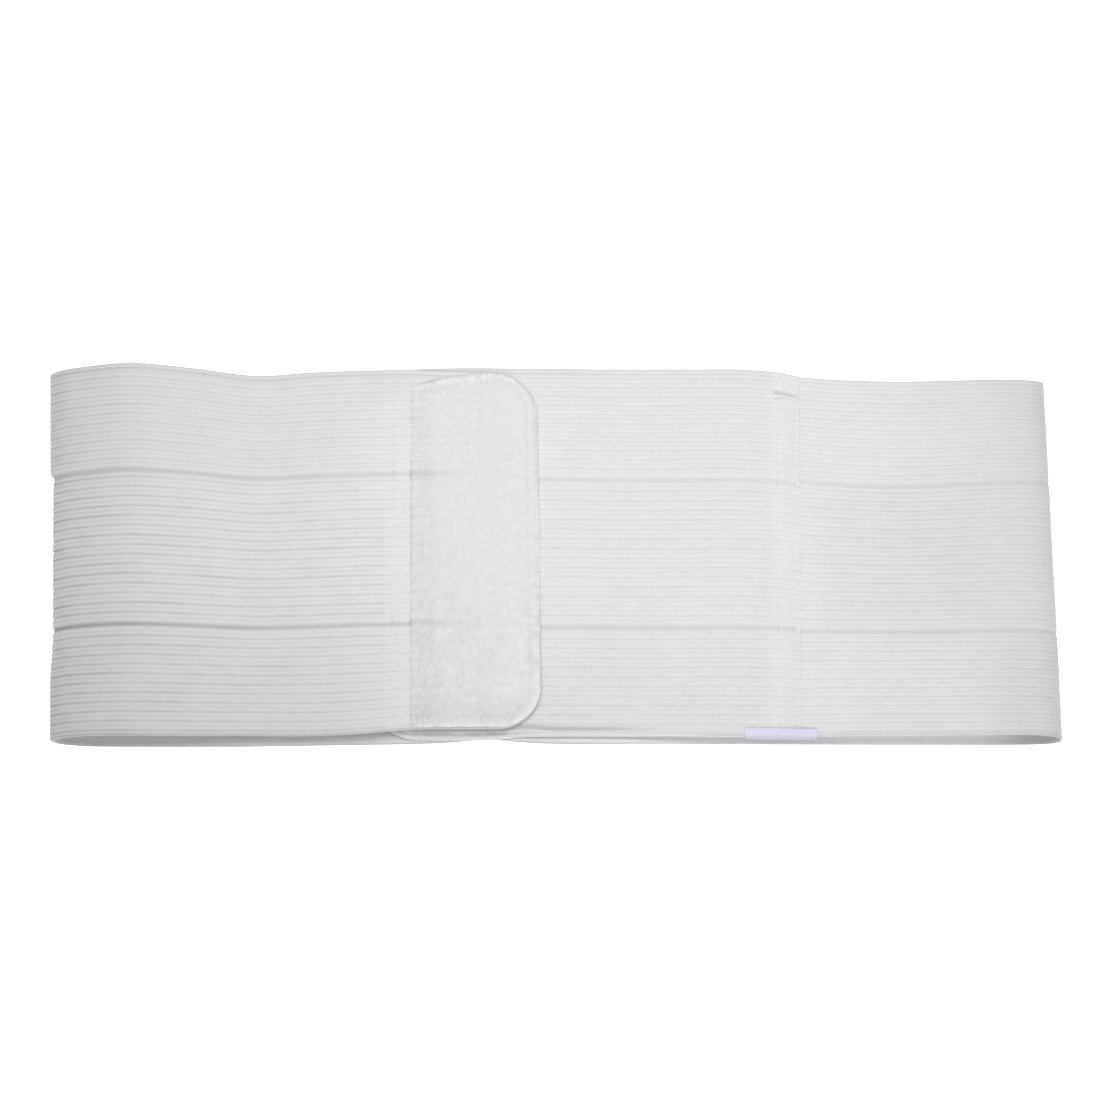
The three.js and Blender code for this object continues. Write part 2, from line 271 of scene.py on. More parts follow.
# Painted shade along both edges of the band
RIM_PAINTED_SHADE = 0.26
RIM = decay(1, 0.7)
FAR_RIM = decay(0.5, 0.5)
PRESSED_PALE = 0.012
# Painted light on the cloth at the left fold
FOLD_PAINTED_LIGHT = decay(0.07, 15)
# Painted shade on the middle panel right of the lap, at the right fold's near corner and beside the patch's
# far corner, and painted light on the middle panel at the left
MIDDLE_PANEL = stretch(1, 30, 60, 95, 125)
BESIDE_LAP_PAINTED_SHADE = stretch(0.035, 96, 112, 158, 182)
LEFT_MIDDLE_PAINTED_LIGHT = change(-0.025, -50, -80)
RIGHT_FOLD_PAINTED_SHADE = change(0.045, 162, 180)
RIGHT_FOLD_NEAR = change(1, 60, 25)
PATCH_CORNER_PAINTED_SHADE = bell(0.05, -62, 13)
PATCH_CORNER_FAR = change(1, 134, 146)
# The inner face keeps a share of the outer face's painted shade, with painted shade inside the right fold
# and painted light right of the closure
INNER_TONE = 0.3
INNER_FOLD_PAINTED_SHADE = change(0.32, 165, 190)
INNER_PAINTED_LIGHT = stretch(-0.05, 0, 25, 125, 165)

# The closure end: its corners, the pile patch and the hook tape. An inset is the margin to the band's edge,
# dent is how far the grooves show through, and pile is the height of the fuzz.
CORNER_RADIUS = 17.0
Patch = namedtuple("Patch", "start end near_inset far_inset fixed_far_inset wall dent pile seed")
PILE_PATCH = Patch(-7.55, -57.4, 0.35, 0.5, 7.0, 1.2, 0.4, 0.13, 11)
HOOK_TAPE = Patch(-10, -55, 5.0, 5.0, 5.0, 1.2, 0, 0.05, 12)
PATCH_STEP = 0.45
PATCH_TURNS = 24
FAR_INSET_START = 12
PIECE_GAP = 0.3

# The patches' relief: dents over the grooves, pressed edges, a slope to the fixed side, fuzz and spots
# Dents, pits, showing ribs and the near edge get painted shade, and puffs a painted highlight
DENT = bell(1, 0, 1.5)
DENT_FREE_SHARE = 0.35
DENT_GROWTH = change(0.65, -18, -57)
DENT_PAINTED_SHADE = 0.1
EDGE_PRESS = change(0.7, 1.4, 0)
EDGE_SLOPE = change(0.15, 5, 0)
FUZZ_RIM = change(1, 0, 0.8)
RAMP = change(1, 11.0, 0)
RAMP_DROP = 1.1
RAMP_UNDER_DROP = 0.25
THINNEST_PILE = 0.15
RIBS_SHOW = decay(1, 7)
RIBS_SHOW_DEPTH = 0.7
RIBS_SHOW_PAINTED_SHADE = 0.1
NEAR_END = change(1, 90, 20)
NEAR_FUZZ = 0.6
NEAR_PAINTED_SHADE = change(0.05, 16, 3)
FINE_BLOTCHES = Mottle(0.6, 1.5)
WIDE_BLOTCHES = Mottle(0.5, 2.9)
BLOTCH_HEIGHT = 0.9
BLOTCH_SHADE = 0.035
GRAIN = Mottle(0.7, 0.8)
GRAIN_RANDOM = 0.5
SPOT_SIZES = (0.25, 1.1)
SPOT_LIMIT = 3
PUFF = bell(1, 0, 1.4)
PUFF_SEED = 17
PUFF_HEIGHT = 0.75
PUFF_PAINTED_HIGHLIGHT = 0.17
PIT = bell(1, 0, 0.9)
PIT_SEED = 18
PIT_PAINTED_SHADE = 0.09

# Stitches: the thread, the straight rows with their needle holes, and the zigzag round the patch
THREAD = 0.5
THREAD_SIDES = 6
THREAD_STEPS = 6
THREAD_TAPER = 0.25
ARCH_POWER = 0.6
# A row's shade is painted shade in its needle holes
StitchRow = namedtuple("StitchRow", "x margin seed shade")
PATCH_ROWS = [StitchRow(-57.8, 5, 30, 0.09), StitchRow(-65.0, 5, 31, 0.07)]
SEAM_ROWS = [StitchRow(89.2, 3, 20, 0.04), StitchRow(97.2, 3, 21, 0.04)]
ROW_STATIONS = (-0.9, -0.45, 0, 0.45, 0.9)
LAP_CLEARANCE = 0.1
ROW_JITTER = 0.18
ROW_SINK = 0.4
ROW_LIFT = 0.34
ROW_GAP = 0.06
SHORTEST_SPAN = 2.2
Hole = namedtuple("Hole", "x across shade")
HOLE_DENT = bell(1, 0, 0.75)
HOLE_DEPTH = 0.15
ZIGZAG_PITCH = 2.3
ZIGZAG_REACH = 3.6
ZIGZAG_MARGIN = 2.2
ZIGZAG_ENDS = 0.6
ZIGZAG_EDGE_SINK = 0.8
ZIGZAG_INNER_SINK = 0.25
ZIGZAG_LIFT = 0.3
OUTLINE_TURNS = 16
OUTLINE_STEPS = 12

# The bar tack at the lap seam's far end, the loose thread end beside it and the pucker of the cloth
TACK_X = np.arange(87.4, 97.3, 0.4)
TACK_ACROSS = np.array([141.0, 143.3])
TACK_SLANT = 0.3
TACK_SWAY = 0.25
TACK_SWAY_TURN = 2.1
TACK_HEIGHT = 0.15
TACK_LIFT = 0.35
LOOSE_END = ([87.6, 88.6], [151.0, 152.3], [WALL / 2, WALL / 2 - 0.2])
LOOSE_LIFT = 0.5
# The pucker is a row of dents with painted shade in them
PUCKER_X = np.arange(87.4, 92.5, 1.2)
PUCKER_ACROSS = 144.3
PUCKER_PAINTED_SHADE = 0.07

# The ribbon round the near edge at the lap seam: sections with the top and underside of the layers in it
TagSection = namedtuple("TagSection", "x top under")
TAG_SECTIONS = [TagSection(*row) for row in (
    (104.7, 10.35, 8.0),
    (98.4, 10.5, 7.6),
    (94, 11.2, 7.5),
    (90, 11.9, 7.5),
    (86, 11.85, 7.5),
    (75.8, 11.55, 9.1),
)]
TAG_WALL = 0.6
TAG_REACH = 3.7
TAG_BEND = 1.6
TAG_ROWS = 49
TAG_TURNS = 15
TAG_LEG_STEPS = 9
# The ribbon's underside and fold get painted shade, which fades out onto its top, and its hem a faint
# painted shade line
TAG_PAINTED_SHADE_TONE = 0.6
TAG_TOP_TONE = change(0.4, 0.5, 0.74)
TAG_HEM_PAINTED_SHADE = bell(0.01, 0, 0.8)

# Colours and finishes
Look = namedtuple("Look", "colour roughness sheen")
ELASTIC = Look((0.82, 0.82, 0.84), 0.85, 0.12)
PILE = Look((0.79, 0.79, 0.8), 0.95, 0.25)
HOOKS = Look((0.8, 0.8, 0.8), 0.95, 0.25)
RIBBON = Look((0.81, 0.785, 0.94), 0.55, 0.1)
WHITE_THREAD = Look((0.84, 0.84, 0.85), 0.6, 0.1)
FLOOR = Look((0.95, 0.95, 0.95), 0.9, 0)
WHITE = (1, 1, 1, 1)
SPECULAR = 0.25
SHEEN_ROUGHNESS = 0.55
PILE_MOTTLE = 420
HOOK_MOTTLE = 900
FLOOR_GLOW = 0.9

# The floor and the light, in metres: two soft round lamps and a pale surrounding
FLOOR_HALF = 3.0
WORLD_STRENGTH = 0.3
Lamp = namedtuple("Lamp", "name place target size power")
LAMPS = [
    Lamp("key", (0.01, 0.044, 0.412), (-0.107, 0.319, 0), 0.3, 1.246),
    Lamp("fill", (0.152, -0.336, 0.402), (0.482, -0.06, 0), 0.3, 1.025),
]

# The view: the photograph's frame, its scale on the belt, and the direction it looks from
IMAGE_PIXELS = 1111
PIXELS_PER_MM = 2.493
VIEW_ELEVATION = 75.0
VIEW_DISTANCE = 5000.0
VIEW_CENTRE = (0.2, 2.1, 0.0)
VIEW_CLIP = 100
SENSOR = 36.0


# Places in the solids' frame

def table_shift():
    """How far the sections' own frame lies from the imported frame, in millimetres."""
    lowest, highest = (np.array(corner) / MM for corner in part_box("main_band"))
    left = min(row.x for row in MAIN_SECTIONS) - WALL / 2
    right = max(row.x + row.lean for row in MAIN_SECTIONS) + WALL / 2
    near = min(row.near for row in MAIN_SECTIONS)
    far = max(row.far for row in MAIN_SECTIONS)
    middle = np.array([(left + right) / 2, (near + far) / 2])
    shift = (lowest + highest)[:2] / 2 - middle
    return np.array([shift[0], shift[1], 0.0])


SHIFT = table_shift()


def to_metres(points):
    return (np.asarray(points, float) + SHIFT) * MM


# Smooth unevenness

def ripple(u, v, seed, kind):
    """A smooth uneven height over two lengths, the same at every run."""
    numbers = np.random.RandomState(seed)
    v = kind.spread * v
    total = np.zeros(np.broadcast(u, v).shape)
    for _ in range(RIPPLE_WAVES):
        length = numbers.uniform(kind.shortest, kind.longest)
        angle = numbers.uniform(0, math.pi)
        phase = numbers.uniform(0, 2 * math.pi)
        total += np.sin((u * math.cos(angle) + v * math.sin(angle)) * 2 * math.pi / length + phase)
    return kind.height * (total / RIPPLE_WAVES)


def mottling(u, v, seed, kind):
    """Soft blotches over two lengths, about one cell wide, with no direction."""
    numbers = np.random.RandomState(seed)
    turn = numbers.uniform(*MOTTLING_TURNS)
    across = (u * math.cos(turn) - v * math.sin(turn)) / kind.cell
    along = (u * math.sin(turn) + v * math.cos(turn)) / kind.cell
    count = MOTTLING_CELLS
    levels = numbers.uniform(-1, 1, (count, count))
    column = np.floor(across).astype(int)
    row = np.floor(along).astype(int)
    side = rising(0, 1, across - column)
    up = rising(0, 1, along - row)

    def level_on(cells):
        left = levels[cells % count, column % count]
        right = levels[cells % count, (column + 1) % count]
        return left * (1 - side) + right * side

    return kind.height * (level_on(row) * (1 - up) + level_on(row + 1) * up)


# Rails and stations along a band

def unit(rows):
    return rows / np.linalg.norm(rows, axis=1)[:, None]


def length_along(points):
    return np.concatenate([[0], np.cumsum(np.linalg.norm(np.diff(points, axis=0), axis=1))])


def rail_at(points, places):
    """Points of a centripetal Catmull-Rom curve at places counted in spans."""
    points = np.asarray(points, float)
    padded = np.vstack([2 * points[0] - points[1], points, 2 * points[-1] - points[-2]])
    span = np.minimum(places.astype(int), len(points) - 2)
    t = (places - span)[:, None]
    p0, p1, p2, p3 = (padded[span + k] for k in range(4))
    d0, d1, d2 = (
        np.sqrt(np.linalg.norm(b - a, axis=1))[:, None] for a, b in ((p0, p1), (p1, p2), (p2, p3))
    )
    leave = ((p1 - p0) / d0 - (p2 - p0) / (d0 + d1) + (p2 - p1) / d1) * d1
    arrive = ((p2 - p1) / d1 - (p3 - p1) / (d1 + d2) + (p3 - p2) / d2) * d1
    return (
        (2 * t**3 - 3 * t**2 + 1) * p1
        + (t**3 - 2 * t**2 + t) * leave
        + (3 * t**2 - 2 * t**3) * p2
        + (t**3 - t**2) * arrive
    )


class Band:
    """Stations along a strip: its edges, its outward direction and the length so far. x, facing, inset
    and is_upper are columns, to go with rows of places across the width."""

    def __init__(self, sections, extra_x, round_x):
        self.far_points = [(row.x, row.far, row.z) for row in sections]
        self.near_points = [(row.x + row.lean, row.near, row.z) for row in sections]
        self.spans = len(sections) - 1
        places = [self.place_at_x(x) for x in extra_x]
        for index, row in enumerate(sections[:-1]):
            length = math.dist(self.far_points[index], self.far_points[index + 1])
            count = max(1, round(length / row.step))
            places.extend(index + step / count for step in range(count))
        places.append(self.spans)
        inward = -1 if round_x == sections[0].x else 1
        for turn in np.linspace(0, math.pi / 2, CORNER_PLACES):
            places.append(self.place_at_x(round_x + inward * CORNER_RADIUS * (1 - math.cos(turn))))
        self.places = np.unique(np.round(places, PLACE_DIGITS))
        self.near, self.far, self.outward = self.rails(self.places)
        self.along = length_along((self.near + self.far) / 2)
        self.tuck = np.interp(self.places, range(len(sections)), [row.tuck for row in sections])
        self.facing = self.outward[:, 2:]
        self.is_upper = self.facing > UPPER_FACING
        self.round_end(round_x)
        self.x = self.far[:, :1]
        self.from_left = self.x - LEFT_END

    def rails(self, places):
        near = rail_at(self.near_points, places)
        far = rail_at(self.far_points, places)
        ahead = np.minimum(places + HEADING_STEP, self.spans)
        behind = np.maximum(places - HEADING_STEP, 0)
        heading = rail_at(self.near_points, ahead) + rail_at(self.far_points, ahead)
        heading -= rail_at(self.near_points, behind) + rail_at(self.far_points, behind)
        outward = np.stack([heading[:, 2], np.zeros(len(places)), -heading[:, 0]], axis=1)
        return near, far, unit(outward)

    def upper_stations(self):
        """Many places on the upper layers, with the far edge's x at each."""
        dense = np.linspace(0, self.spans, DENSE_PLACES)
        _, far, outward = self.rails(dense)
        kept = outward[:, 2] > UPPER_FACING
        return dense[kept], far[kept, 0]

    def place_at_x(self, x):
        dense, far_x = self.upper_stations()
        return dense[np.argmin(np.abs(far_x - x))]

    def round_end(self, end_x):
        """Draws both edges in along an arc at the end of an upper layer that lies at this x."""
        off = np.where(self.is_upper[:, 0], np.abs(end_x - self.far[:, 0]), CORNER_RADIUS)
        rest = CORNER_RADIUS - np.clip(off, 0, CORNER_RADIUS)
        self.inset = (CORNER_RADIUS - np.sqrt(CORNER_RADIUS**2 - rest**2))[:, None]
        across = unit(self.far - self.near)
        self.near = self.near + across * self.inset
        self.far = self.far - across * self.inset

    def on_top(self, x, across, height):
        """Points on an upper layer at x, a place across and a height from the wall's middle."""
        x, across, height = np.broadcast_arrays(*(np.asarray(v, float) for v in (x, across, height)))
        dense, far_x = self.upper_stations()
        kept = np.flatnonzero(np.abs(far_x - np.mean(x)) < SAME_LAYER)
        kept = kept[np.argsort(far_x[kept])]
        near, far, outward = self.rails(np.interp(x, far_x[kept], dense[kept]))
        share = (across / WIDTH)[:, None]
        return near + (far - near) * share + outward * height[:, None]


# Ribbed bands

def rib_columns(panels):
    """Columns across the band: place, drop below the crest, and rib number for the weave."""
    rows = list(SELVEDGE_COLUMNS)
    start = 0.0
    number = 1
    for index, panel in enumerate(panels):
        first = start + (SELVEDGE if index == 0 else GROOVE_WIDTH / 2)
        last = start + panel.width - (SELVEDGE if index == len(panels) - 1 else GROOVE_WIDTH / 2)
        pitch = (last - first) / panel.ribs
        for rib in range(panel.ribs):
            left = SHALLOW_VALLEY if rib % 2 else DEEP_VALLEY
            right = DEEP_VALLEY if rib % 2 or rib == panel.ribs - 1 else SHALLOW_VALLEY
            profile = [
                (0, left),
                (RIB_SHOULDER, SHOULDER_DROP * left),
                (0.5, 0),
                (1 - RIB_SHOULDER, SHOULDER_DROP * right),
            ]
            for share, drop in profile:
                rows.append((first + (rib + share) * pitch, drop, number + rib + share))
        number += panel.ribs
        rows.append((last, DEEP_VALLEY, number))
        start += panel.width
        if index < len(panels) - 1:
            for share in GROOVE_SHARES:
                drop = GROOVE_DEPTH * (1 - GROOVE_SLOPE * abs(share))
                rows.append((start + share * GROOVE_WIDTH / 2, drop, number + 0.5 + share / 2))
            number += 1
    for place, drop, share in reversed(SELVEDGE_COLUMNS):
        rows.append((WIDTH - place, drop, number + 1 - share))
    return Columns(*np.array(rows).T[:, None, :])


def groove_places(panels):
    return np.cumsum([panel.width for panel in panels])[:2]


def groove_distance(across, panels):
    return np.min([np.abs(across - place) for place in groove_places(panels)], axis=0)


def groove_drift(x, across):
    """How far the main band's grooves drift toward the near edge."""
    near, far = groove_places(PANELS)
    near_side = stretch(1, 0, near, near, far)(across)
    far_side = stretch(1, near, far, far, WIDTH)(across)
    closure = CLOSURE_DRIFT(x) * (x < 0)
    right = RIGHT_DRIFT(x) * (x > RIGHT_DRIFT_FROM)
    return (right + FAR_CLOSURE_DRIFT * closure) * far_side + closure * near_side


def painted_shade_by_region(x, across):
    """How much painted shade some parts of the main band get, and painted light where it is below 0."""
    shade = (BESIDE_LAP_PAINTED_SHADE(x) + LEFT_MIDDLE_PAINTED_LIGHT(x)) * MIDDLE_PANEL(across)
    shade = shade + RIGHT_FOLD_PAINTED_SHADE(x) * RIGHT_FOLD_NEAR(across)
    return shade + PATCH_CORNER_PAINTED_SHADE(x) * PATCH_CORNER_FAR(across)


def end_droop(x, across):
    """How far the closure's free edge bends down, less at its near corner: 0 to 1."""
    side = np.clip(np.minimum(across, WIDTH - across), 0, CORNER_RADIUS)
    arc = np.sqrt(CORNER_RADIUS**2 - (CORNER_RADIUS - side) ** 2)
    outline = MAIN_SECTIONS[0].x - CORNER_RADIUS + arc
    return DROOP_RIM(outline - x) * (CORNER_DROOP + DROOP_GROWTH(across))


# How far each place of a strip moves across, sinks, thins and darkens, the darkening being mostly painted
# shade and painted light
Soft = namedtuple("Soft", "drawn sunk pinched dimmed")


def soft_main(band, across):
    """Main band: a drawn-in near edge, drifting grooves, a raised lower edge, a drooping end and painted
    shade by region.
    """
    x = band.x
    drawn = DRAWN_FACING(band.facing) * (x > 0) * DRAWN_STRIP(across)
    drawn = drawn - groove_drift(x, across) * (band.facing > 0)
    lift = LIFTED(x) * (band.facing < LOWER_FACING) * NEAR_LIFT(across)
    place = band.inset + across * (1 - 2 * band.inset / WIDTH)
    droop = end_droop(x, place) * (band.is_upper & (x < 0))
    return Soft(drawn, lift + END_DROOP * droop, END_PINCH * droop, painted_shade_by_region(x, across))


def soft_underlap(band, across):
    """Underlap: a drawn-in and hanging near edge, with a crease that fades to the right, painted shade in
    the crease, a painted shadow under the closure and painted light on the near rim.
    """
    x = band.x
    drawn = DRAW_START(x) * (CREASE_DRAW + DRAW_EASE(x)) * CREASE_STRIP(across)
    covered = COVERED(x)
    hang = (HANG(x) + COVERED_HANG * covered) * HANGING_STRIP(across)
    line = CREASE_END(x) * CREASE_LINE(across - CREASE_PLACE - CREASE_SHIFT(x))
    # Painted shade in the crease, a painted shadow under the closure and painted light on the near rim
    crease = line * (CREASE_PAINTED_SHADE + CREASE_ROOT_PAINTED_SHADE(x)) * CREASE_START(x)
    shadow = covered * COVER_STRIP(across) * COVER_PAINTED_SHADOW(x)
    shadow = shadow * (1 + mottling(x, across, COVER_SEED, COVER_BREAKS))
    painted_light_rim = RIM(across) * PAINTED_LIGHT_RIM(x)
    sewn = SEWN_END(x) * (SEWN_PALE + SEWN_FAR_PALE(across))
    dimmed = UNDERLAP_DARKENING + crease + shadow - painted_light_rim - sewn
    return Soft(drawn, hang + CREASE_DEPTH * line, 0.0, dimmed)


def rib_depth(band, strip, columns, pressed):
    depth = 1 + ripple(band.along[:, None], columns.rib, strip.seed + 2, RIB_RIPPLE)
    depth = depth * (1 - PRESSED_LOSS * pressed) * (1 - FAR_LOSS(columns.across))
    stretched = STRETCHED_LOSS(band.from_left) * STRETCHED_PANELS(columns.across)
    return depth * (1 - stretched) * (1 - RIGHT_LOSS(band.from_left))


def painted_valley_shade(band, strip, columns, depth):
    """How dark each place is that lies in a valley between ribs: painted shade, strongest at the left fold.
    """
    across = columns.across
    calm = GROOVE_CALM(groove_distance(across, strip.panels) ** 2)
    valley = np.clip(columns.drop / DEEP_VALLEY, 0, 1) ** VALLEY_POWER * (1 - calm)
    sided = 1 + MIDDLE_VALLEYS(across) + FAR_VALLEYS(across)
    strength = (PLAIN_VALLEYS + LEFT_VALLEYS(band.from_left)) * sided
    strength = strength + FOLD_VALLEYS(band.from_left) * (FOLD_NEAR_SHARE + FOLD_FAR_SHARE(across))
    breaks = mottling(band.along[:, None], BREAK_SPREAD * columns.rib, strip.seed + 5, VALLEY_BREAKS)
    return VALLEY_PAINTED_SHADE * strength * valley * depth * (1 + breaks)


def cloth_tone(band, strip, columns, depth, pressed, dimmed):
    """Tone of each place of a strip's outer face, about 1: painted shade in valleys, grooves and along the
    edges, and painted light at the left fold.
    """
    across = columns.across
    from_far = WIDTH - across
    # Painted shade in the grooves, along the far edge and on the rims, and painted light at the left fold
    near_shade = NEAR_GROOVE_PAINTED_SHADE + NEAR_GROOVE_LEFT(band.from_left)
    far_shade = FAR_GROOVE_PAINTED_SHADE + FAR_GROOVE_LEFT(band.from_left)
    groove = np.where(across < WIDTH / 2, near_shade, far_shade)
    groove = groove * GROOVE_LINE(groove_distance(across, strip.panels))
    tone = 1 - painted_valley_shade(band, strip, columns, depth) - groove
    tone = tone - FAR_LINE_END(band.from_left) * FAR_EDGE_PAINTED_SHADE(from_far)
    tone = tone * (1 - RIM_PAINTED_SHADE * (RIM(across) + FAR_RIM(from_far)))
    return tone * (1 + PRESSED_PALE * pressed) * (1 - dimmed) * (1 + FOLD_PAINTED_LIGHT(band.from_left))


def band_mesh(band, strip, soften, holes):
    """Closed ribbed strip; soften gives its soft forms and some painted shade and light, and holes are in
    its outer face.
    """
    columns = rib_columns(strip.panels)
    across, drop, _ = columns
    inner = slice(None, None, 2)
    along = band.along[:, None]
    raised = RAISED(band.facing)
    pressed = strip.pressed(band.x) * band.is_upper
    soft = soften(band, across)

    edge_fade = EDGE_FADE(across) * EDGE_FADE(WIDTH - across)
    place = across + ripple(along, across, strip.seed, WANDER) * edge_fade + soft.drawn
    swell = ripple(along, across, strip.seed + 1, SWELL) * raised
    depth = rib_depth(band, strip, columns, pressed)
    fall = drop * depth + PANEL_CROWN(groove_distance(across, strip.panels)) * raised
    near_groove, far_groove = groove_places(strip.panels)
    tucked = band.tuck[:, None] * (TUCK_NEAR(across - near_groove) * TUCK_FAR(across - far_groove))
    moved = swell - tucked - soft.sunk
    outer_height = WALL / 2 - fall + moved - strip.thinning(along) - soft.pinched
    inner_height = -WALL / 2 + (INNER_RIBS * drop * depth)[:, inner] + moved[:, inner]
    outer = strip_points(band, place, outer_height)
    inside = strip_points(band, place[:, inner], inner_height)

    tone = cloth_tone(band, strip, columns, depth, pressed, soft.dimmed)
    # Needle holes are dented, with painted shade in them
    for hole in holes:
        spot = band.on_top([hole.x], [hole.across], [WALL / 2])[0]
        off = np.linalg.norm((outer - spot)[:, :, :2], axis=2)
        dent = HOLE_DENT(off) * band.is_upper
        outer[:, :, 2] -= HOLE_DEPTH * dent
        tone = tone * (1 - hole.shade * dent)
    outer[:, :, 2] = np.maximum(outer[:, :, 2], 0)
    weave = np.stack(np.broadcast_arrays(along, columns.rib), axis=2)
    # Painted shade inside the right fold and at the main band's inner rim, and painted light right of the
    # closure and at the underlap's inner rim
    inner_painted_shade_and_light = INNER_FOLD_PAINTED_SHADE(band.x) + INNER_PAINTED_LIGHT(band.x) + strip.inner_rim * RIM(across[:, inner])
    return shell_object(strip.name, outer, inside, weave, tone, inner_painted_shade_and_light)


def strip_points(band, place, height):
    share = (place / WIDTH)[:, :, None]
    points = band.near[:, None, :] + (band.far - band.near)[:, None, :] * share
    return points + band.outward[:, None, :] * height[:, :, None]


def shell_object(name, outer, inside, weave, tone, inner_painted_shade_and_light=0.0):
    """Closed mesh from an outer grid and an inner one with every second column."""
    rows, columns = outer.shape[:2]
    half = inside.shape[1]
    top = np.arange(rows * columns).reshape(rows, columns)
    low = rows * columns + np.arange(rows * half).reshape(rows, half)
    grids = [
        (top[:-1, :-1], top[:-1, 1:], top[1:, 1:], top[1:, :-1]),
        (low[:-1, :-1], low[1:, :-1], low[1:, 1:], low[:-1, 1:]),
        (top[:-1, 0], top[1:, 0], low[1:, 0], low[:-1, 0]),
        (top[:-1, -1], low[:-1, -1], low[1:, -1], top[1:, -1]),
    ]
    faces = [quad for grid in grids for quad in np.stack([g.ravel() for g in grid], axis=1).tolist()]
    sides = len(faces)
    start = np.stack([top[0, :-2:2], low[0, :-1], low[0, 1:], top[0, 2::2], top[0, 1::2]], axis=1)
    end = np.stack([top[-1, :-2:2], top[-1, 1::2], top[-1, 2::2], low[-1, 1:], low[-1, :-1]], axis=1)
    faces += start.tolist() + end.tolist()

    points = np.concatenate([outer.reshape(-1, 3), inside.reshape(-1, 3)])
    mesh = bpy.data.meshes.new(name)
    mesh.from_pydata(to_metres(points).tolist(), [], faces)
    mesh.polygons.foreach_set("use_smooth", np.arange(len(faces)) < sides)
    ends = np.zeros(len(points), bool)
    ends[np.concatenate([top[0], low[0], top[-1], low[-1]])] = True
    pairs = np.empty(len(mesh.edges) * 2, int)
    mesh.edges.foreach_get("vertices", pairs)
    mesh.edges.foreach_set("use_edge_sharp", ends[pairs.reshape(-1, 2)].all(axis=1))

    flat = np.concatenate([weave.reshape(-1, 2), weave[:, ::2].reshape(-1, 2)])
    # The inner face keeps part of the outer face's painted shade, plus its own painted shade and painted
    # light
    inner_tone = (1 - INNER_TONE * (1 - tone[:, ::2])) * (1 - inner_painted_shade_and_light)
    shade = np.concatenate([tone.ravel(), inner_tone.ravel()])
    corners = np.empty(len(mesh.loops), int)
    mesh.loops.foreach_get("vertex_index", corners)
    layer = mesh.uv_layers.new(name="weave")
    layer.data.foreach_set("uv", flat[corners].astype(np.float32).ravel())
    attribute = mesh.attributes.new("tone", "FLOAT", "POINT")
    attribute.data.foreach_set("value", shade.astype(np.float32))
    return link(name, mesh)


def link(name, data):
    piece = bpy.data.objects.new(name, data)
    bpy.context.scene.collection.objects.link(piece)
    return piece


# Patches at the closure end

def far_inset(patch, x):
    """Margin at the far edge, which grows toward the patch's fixed side."""
    start = patch.start - FAR_INSET_START
    share = np.clip((start - np.asarray(x, float)) / (start - patch.end), 0, 1)
    return patch.far_inset + (patch.fixed_far_inset - patch.far_inset) * share**2


def patch_grid(patch):
    """Places over a patch with two rounded corners: x, across and distance to a loose side."""
    radius = CORNER_RADIUS - patch.near_inset
    turns = np.linspace(0, math.pi / 2, PATCH_TURNS)
    corner = patch.start - radius * (1 - np.cos(turns))
    straight = np.arange(corner[-1] - PATCH_STEP, patch.end, -PATCH_STEP)
    xs = np.concatenate([corner, straight, [patch.end]])
    reach = np.clip(patch.start - xs, 0, radius)
    draw_in = radius - np.sqrt(radius**2 - (radius - reach) ** 2)
    low = patch.near_inset + draw_in
    high = WIDTH - far_inset(patch, xs) - draw_in
    count = 2 * round((WIDTH - 2 * patch.near_inset) / PATCH_STEP / 2) + 1
    share = np.linspace(0, 1, count)
    across = low[:, None] + (high - low)[:, None] * share[None, :]
    edge = np.minimum(across - low[:, None], high[:, None] - across)
    edge = np.minimum(edge, (patch.start - xs)[:, None])
    return np.repeat(xs[:, None], count, axis=1), across, edge


def edge_spots(x, across, corners, seed, spot):
    """Round spots of uneven size halfway between every second corner of the zigzag."""
    places = np.stack([x.ravel(), across.ravel()], axis=1)
    level = np.zeros(len(places))
    numbers = np.random.RandomState(seed)
    for start, end in zip(corners[:-2:2], corners[2::2]):
        middle = (start + end) / 2
        size = numbers.uniform(*SPOT_SIZES)
        close = np.flatnonzero(np.abs(places - middle).max(axis=1) < SPOT_LIMIT)
        off = np.linalg.norm(places[close] - middle, axis=1)
        level[close] = np.maximum(level[close], size * spot(off))
    return level.reshape(x.shape)


